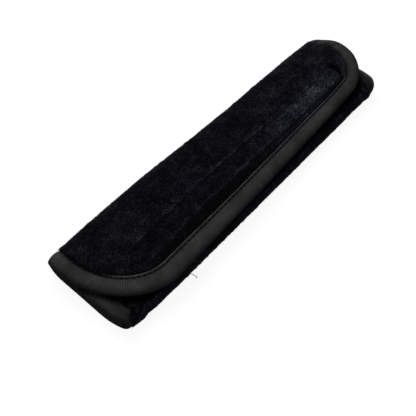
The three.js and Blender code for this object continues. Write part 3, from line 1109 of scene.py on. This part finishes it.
def fold_stitching(mat):
    x = np.arange(-FOLD_ROW_END, FOLD_ROW_END + PATH_STEP, PATH_STEP)
    s = np.full_like(x, FOLD_ROW)
    depth = plush_body(x, s) - FOLD_THREAD_RISE
    stitches(
        "fold_stitching", (x, s, depth),
        FOLD_PITCH, length=2.6, radius=0.2, rise=0.1, mat=mat,
    )


# The strips that close the pad: a woven base with a field of hooks or loops
STRIP_COLUMNS = 97
STRIP_ROWS = 9
WOVEN_EDGE = 2.2
FIELD_HEIGHT = 0.12
FIELD_EASE = 0.3


def strip(name, node, line, sign, base, mat):
    xs = np.linspace(STRIP_NEAR, STRIP_FAR, STRIP_COLUMNS)
    offs = np.linspace(-STRIP_WIDTH / 2, STRIP_WIDTH / 2, STRIP_ROWS)
    x, off = np.meshgrid(xs, offs, indexing="ij")
    s = line + off - slant_at(x)
    edge = FIELD_HEIGHT * smooth((np.abs(off) - STRIP_WIDTH / 2 + WOVEN_EDGE) / FIELD_EASE)
    low, high = base + edge * (sign < 0), base + STRIP - edge * (sign > 0)
    top, bottom = place(x, s, low), place(x, s, high)
    m, n = x.shape
    up, down = np.arange(m * n).reshape(m, n), m * n + np.arange(m * n).reshape(m, n)
    faces = grid_faces(m, n, flip=True) + grid_faces(m, n, m * n)
    for a, b, flip in (
        (up[0], down[0], False), (up[-1], down[-1], True),
        (up[:, 0], down[:, 0], True), (up[:, -1], down[:, -1], False),
    ):
        quads = np.stack([a[:-1], a[1:], b[1:], b[:-1]], axis=1)
        faces += (quads[:, ::-1] if flip else quads).tolist()
    points = np.concatenate([top.reshape(-1, 3), bottom.reshape(-1, 3)])
    return make_piece(name, points, faces, mat, [node], smooth_faces=False)


# The loose end of thread that lies by the front edge
THREAD_RADIUS = 0.2


def loose_thread(mat):
    knots = [
        (-69.4, -31.4, 1.6), (-69.0, -33.0, 1.2), (-68.4, -34.3, 0.7),
        (-68.5, -35.3, 0.35), (-69.1, -35.6, 0.3),
    ]
    curve = bpy.data.curves.new("loose_thread", "CURVE")
    curve.dimensions = "3D"
    curve.bevel_depth = THREAD_RADIUS * MM
    curve.bevel_resolution = 2
    curve.use_fill_caps = True
    spline = curve.splines.new("NURBS")
    spline.points.add(len(knots) - 1)
    for point, at in zip(spline.points, knots):
        point.co = (*(v * MM for v in at), 1)
    spline.use_endpoint_u = True
    spline.order_u = 3
    curve.materials.append(mat)
    piece = bpy.data.objects.new("loose_thread", curve)
    bpy.context.scene.collection.objects.link(piece)
    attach(piece, "root")


# The camera that the photograph was taken with: its direction, roll, distance from the
# middle of the floor, offset across the view and focal length in pixels of its frame
FRAME_PIXELS = 416
CAMERA_AZIMUTH = math.radians(-47.13)
CAMERA_ELEVATION = math.radians(55.92)
CAMERA_ROLL = math.radians(-1.83)
CAMERA_DISTANCE = 0.43
CAMERA_OFFSET = (-12.54 * MM, -22.62 * MM)
CAMERA_FOCAL_PIXELS = 685.15


def add_camera():
    a, e, r = CAMERA_AZIMUTH, CAMERA_ELEVATION, CAMERA_ROLL
    back = Vector((math.sin(a) * math.cos(e), -math.cos(a) * math.cos(e), math.sin(e)))
    level = Vector((math.cos(a), math.sin(a), 0))
    rise = back.cross(level)
    right = math.cos(r) * level + math.sin(r) * rise
    up = -math.sin(r) * level + math.cos(r) * rise
    data = bpy.data.cameras.new("camera")
    data.sensor_fit = "HORIZONTAL"
    data.sensor_width = 36
    data.lens = CAMERA_FOCAL_PIXELS * data.sensor_width / FRAME_PIXELS
    data.clip_start = 0.01
    camera = bpy.data.objects.new("camera", data)
    place_at = back * CAMERA_DISTANCE + right * CAMERA_OFFSET[0] + up * CAMERA_OFFSET[1]
    turn = Matrix((right, up, back)).transposed().to_4x4()
    camera.matrix_world = Matrix.Translation(place_at) @ turn
    bpy.context.scene.collection.objects.link(camera)
    bpy.context.scene.camera = camera


# A white floor whose whiteness for the camera is partly its own glow
FLOOR_REACH = 6
FLOOR_LIGHT = 1.02
FLOOR_OWN = 0.12
FLOOR_BOUNCE = 0.85


def add_floor():
    mesh = bpy.data.meshes.new("floor")
    reach = FLOOR_REACH
    corners = [(-reach, -reach, 0), (reach, -reach, 0), (reach, reach, 0), (-reach, reach, 0)]
    mesh.from_pydata(corners, [], [(0, 1, 2, 3)])
    mat = material("white_floor")
    nodes, links = mat.node_tree.nodes, mat.node_tree.links
    shader = nodes["Principled BSDF"]
    shader.inputs["Roughness"].default_value = 1.0
    shader.inputs["Specular IOR Level"].default_value = 0.0
    path = nodes.new("ShaderNodeLightPath")
    tint = blend(mat, path.outputs["Is Camera Ray"], (FLOOR_BOUNCE,) * 3, (FLOOR_OWN,) * 3)
    links.new(tint, shader.inputs["Base Color"])
    glow = nodes.new("ShaderNodeMath")
    glow.operation = "MULTIPLY"
    glow.inputs[1].default_value = FLOOR_LIGHT - FLOOR_OWN
    links.new(path.outputs["Is Camera Ray"], glow.inputs[0])
    shader.inputs["Emission Color"].default_value = (1, 1, 1, 1)
    links.new(glow.outputs[0], shader.inputs["Emission Strength"])
    mesh.materials.append(mat)
    floor = bpy.data.objects.new("floor", mesh)
    bpy.context.scene.collection.objects.link(floor)


WORLD_LIGHT = 0.38


def add_lights():
    world = bpy.data.worlds.new("studio")
    world.use_nodes = True
    background = world.node_tree.nodes["Background"]
    background.inputs["Color"].default_value = (1, 1, 1, 1)
    background.inputs["Strength"].default_value = WORLD_LIGHT
    bpy.context.scene.world = world
    for name, place_at, size, power in (
        ("key_light", (0.2, 0.55, 0.85), 0.7, 8.5),
        ("fill_light", (-0.5, -0.5, 0.8), 0.9, 1.0),
    ):
        data = bpy.data.lights.new(name, "AREA")
        data.size = size
        data.energy = power
        lamp = bpy.data.objects.new(name, data)
        lamp.location = place_at
        lamp.rotation_euler = (-Vector(place_at)).to_track_quat("-Z", "Y").to_euler()
        bpy.context.scene.collection.objects.link(lamp)


def add_plush(mat):
    rows = rows_round(EDGE_INSET, top_step=0.72, low_step=1.3)
    columns = columns_over(rows, step=0.8)
    piece = closed_sheet(
        "plush_cover_pile", rows, columns, plush_outer, plush_inner, mat,
        ["plush_cover"], PLUSH_SHARE, over_tape,
    )
    s = np.broadcast_to(rows[:, None], columns.shape)
    shared = (slice(None, None, PLUSH_SHARE),) * 2
    faces = ((columns, s), (columns[shared], s[shared]))
    # The pile's tone carries its painted light and shade and the flap's painted shadow
    tones = [plush_tone(x, s) * shaded_by_flap(x, s) for x, s in faces]
    set_tone(piece, np.concatenate([tone.ravel() for tone in tones]))


# Tufts of pile: fine tapered fibres that lean over, longer beside the tape and longest
# where the plush folds over it; none stand in the seams or underneath
FIBRES = 30000
FIBRE_SEED = 7
TRIED = 3 * FIBRES
FRONT_SHARE = 0.2
SEAM_SHIFTS = (-1.1, 0, 0.9)
SEAM_LIMIT = 0.3
BESIDE_TAPE = 1.6
LONGER_BESIDE = 1.5
LONGER_FOLDED = 2.3
HIGHER_BESIDE = 0.35
HIGHER_FOLDED = 0.1
FOLDED_COVER = 1.5
ROOT_DEPTH = 0.15


def add_fibres(mat):
    random = np.random.default_rng(FIBRE_SEED)
    x = random.uniform(-HALF + TAPE_WIDTH, HALF - TAPE_WIDTH, TRIED)
    s = np.where(
        random.random(TRIED) < FRONT_SHARE,
        random.uniform(TAPE_WIDTH, MIDDLE_START - 3, TRIED),
        random.uniform(BACK_START + 6, GIRTH - TAPE_WIDTH, TRIED),
    )
    inset = inset_of(x, s)
    lines = np.max([seam_lines(x, s + shift) for shift in SEAM_SHIFTS], axis=0)
    pulled = np.maximum(lines, end_crease(x, s))
    kept = np.flatnonzero((inset > TAPE_WIDTH + 0.5) & (pulled < SEAM_LIMIT))[:FIBRES]
    x, s, inset = x[kept], s[kept], inset[kept]
    count = len(x)
    turn = random.normal(0, 0.8, count) + 2.2 * noise(x, s, size=11, seed=51)
    length = random.uniform(0.5, 1.3, count)
    height = random.uniform(0.25, 0.6, count)
    thick = random.uniform(0.12, 0.22, count)
    beside = inset < TAPE_WIDTH + BESIDE_TAPE
    step = 0.3
    out_x = inset_of(x + step, s) - inset_of(x - step, s)
    out_s = inset_of(x, s + step) - inset_of(x, s - step)
    size = np.hypot(out_x, out_s) + 1e-6
    lean_x = np.where(beside, -out_x / size, np.cos(turn))
    lean_s = np.where(beside, -out_s / size, np.sin(turn))
    folded = cover_at(x, s) > FOLDED_COVER
    longer = np.where(folded, LONGER_FOLDED, LONGER_BESIDE)
    higher = np.where(folded, HIGHER_FOLDED, HIGHER_BESIDE)
    length = np.where(beside, length * longer, length)
    height = np.where(beside, height + higher, height)
    root_x, root_s, depth = over_tape(x, s, plush_outer(x, s))
    corners = []
    for k in range(3):
        a = 2 * math.pi * k / 3 + turn
        root = (root_x + thick * np.cos(a), root_s + thick * np.sin(a), depth + ROOT_DEPTH)
        corners.append(root)
    corners.append((root_x + length * lean_x, root_s + length * lean_s, depth - height))
    points = np.stack([place(*corner) for corner in corners], axis=1)
    first = 4 * np.arange(count)[:, None]
    sides = ((0, 2, 1), (0, 1, 3), (1, 2, 3), (2, 0, 3))
    faces = np.concatenate([first + np.array(side) for side in sides])
    piece = make_piece("plush_pile_fibres", points, faces.tolist(), mat)
    # Each fibre carries the pile's painted light and shade and the flap's painted shadow, with a
    # tone of its own that differs at random
    tone = plush_tone(x, s) * shaded_by_flap(x, s) * random.uniform(0.1, 1.7, count) ** 2
    set_tone(piece, np.repeat(tone, 4))


FOAM_COLUMNS = 97


def add_foam(mat):
    first = TAPE_WIDTH + FOAM_INSET
    rows = fit_coarse(np.concatenate([
        spread(first, FRONT_START, 4), spread(FRONT_START, MIDDLE_START, 1.5),
        spread(MIDDLE_START, BACK_START, 6), spread(BACK_START, GIRTH - first, 2), [GIRTH - first],
    ]))
    share = fit_coarse(np.linspace(0, 1, FOAM_COLUMNS))
    ends = [end_at(side, rows, first)[:, None] for side in (1, -1)]
    columns = lerp(*ends, share[None, :])

    def outer(x, s):
        return plush_inner(x, s) + GAP / 2

    def inner(x, s):
        return np.full_like(x, PANEL - LINING - GAP)

    piece = closed_sheet(
        "foam_core_sheet", rows, columns, outer, inner, mat, ["foam_core"], FOAM_SHARE
    )


WRINKLE = 0.12
WRINKLE_EASE = 6


def add_lining(mat):
    rows = rows_round(EDGE_INSET, top_step=2.2, low_step=2.6)
    columns = columns_over(rows, step=3.2)

    def inner(x, s):
        inset = inset_of(x, s)
        wrinkle = WRINKLE * (1 + noise(x, s, size=9, seed=31))
        wrinkle = wrinkle * smooth((inset - TAPE_EDGE) / WRINKLE_EASE)
        return PANEL - SINK * (1 - clear_of_tape(inset)) - wrinkle

    piece = closed_sheet(
        "inner_lining_cloth", rows, columns, inner, lambda x, s: inner(x, s) - LINING, mat,
        ["inner_lining"], LINING_SHARE,
    )


add_camera()
add_floor()
add_lights()

thread = plain_cloth(
    "black_thread", (0.0015, 0.0015, 0.002), (0.0045, 0.0045, 0.0055),
    scale=3000, rough=0.9, specular=0.03,
)
grey_thread = plain_cloth(
    "grey_thread", (0.01, 0.01, 0.01), (0.03, 0.03, 0.03), scale=3000, rough=0.8
)
plush = plush_material()
add_plush(plush)
add_fibres(plush)
edge_binding(tape_material())
add_foam(plain_cloth("foam_sheet", (0.10, 0.10, 0.11), (0.2, 0.2, 0.21), scale=700, rough=0.95))
add_lining(plain_cloth("black_lining", (0.006, 0.006, 0.008), (0.018, 0.018, 0.021), scale=1500))
hooks = plain_cloth(
    "hook_tape", (0.008, 0.008, 0.009), (0.022, 0.022, 0.023), scale=1600, rough=0.6
)
loops = plain_cloth(
    "loop_tape", (0.008, 0.008, 0.009), (0.02, 0.02, 0.022), scale=2200, rough=0.9
)
strip("hook_tape_strip", "hook_strip", STRIP_LINE, 1, PANEL + GAP, hooks)
strip("loop_tape_strip", "loop_strip", UNDER_STRIP_LINE, -1, -GAP - STRIP, loops)
edge_stitching(thread)
strip_stitching(thread)
fold_stitching(thread)
loose_thread(grey_thread)

bpy.context.scene.view_settings.view_transform = "Standard"
